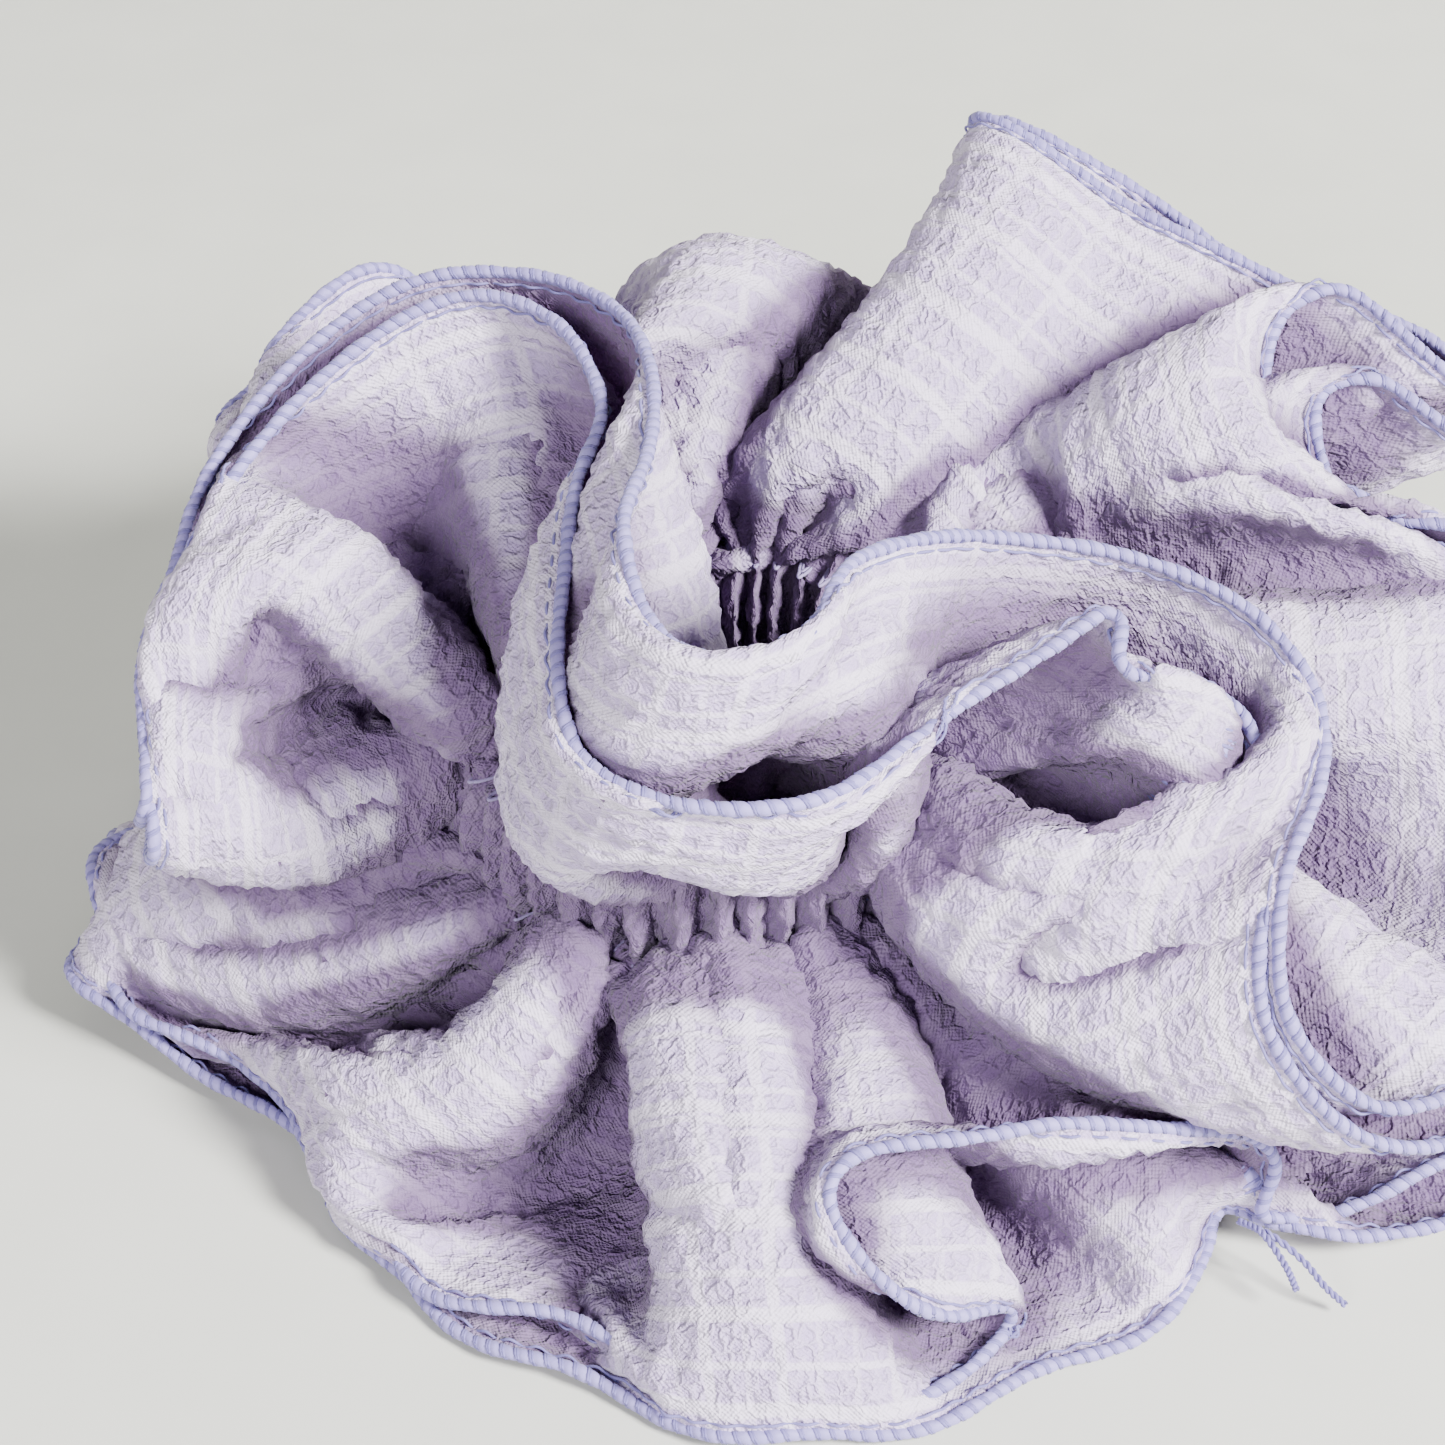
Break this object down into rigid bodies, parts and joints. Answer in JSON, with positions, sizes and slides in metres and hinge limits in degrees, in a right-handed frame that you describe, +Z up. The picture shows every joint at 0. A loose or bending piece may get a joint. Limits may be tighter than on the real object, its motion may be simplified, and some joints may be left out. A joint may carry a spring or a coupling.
{
  "type": "scrunchie",
  "caption": "Oversized ruffled hair scrunchie of sheer crinkled check cloth with overlocked edges, gathered on an elastic loop.",
  "frame": {"origin": "under the middle of the whole scrunchie's box, on the surface that it lies on", "axes": "+Z up, along the way the hair goes through; +X along the wider way across, towards the half that pulls away"},
  "size_m": [0.1576, 0.1452, 0.0802],
  "materials": {
    "fabric": "sheer crinkled weave with a woven check, matt",
    "thread": "overlock and sewing thread, soft sheen",
    "elastic": "knitted elastic, matt"
  },
  "bodies": {
    "left_half": {"outer_cloth_left": "fabric", "inner_cloth_left": "fabric", "elastic_tack": "thread", "elastic_band": "elastic", "outer_upper_edging": "thread", "outer_lower_edging": "thread", "inner_upper_edging": "thread", "inner_lower_edging": "thread", "upper_casing_needle_thread": "thread", "upper_casing_bobbin_thread": "thread", "lower_casing_needle_thread": "thread", "lower_casing_bobbin_thread": "thread"},
    "right_half": {"outer_cloth_right": "fabric", "inner_cloth_right": "fabric", "outer_closing_seam": "thread", "inner_closing_seam": "thread", "seam_thread_tail_long": "thread", "seam_thread_tail_short": "thread"}
  },
  "joints": [
    {"name": "stretch", "type": "slide", "parent": "left_half", "child": "right_half", "axis": [1, 0, 0], "range_m": [0, 0.045], "stiffness_N_per_m": 120, "deforming": ["elastic_band", "outer_upper_edging", "outer_lower_edging", "inner_upper_edging", "inner_lower_edging", "upper_casing_needle_thread", "upper_casing_bobbin_thread", "lower_casing_needle_thread", "lower_casing_bobbin_thread"]}
  ]
}
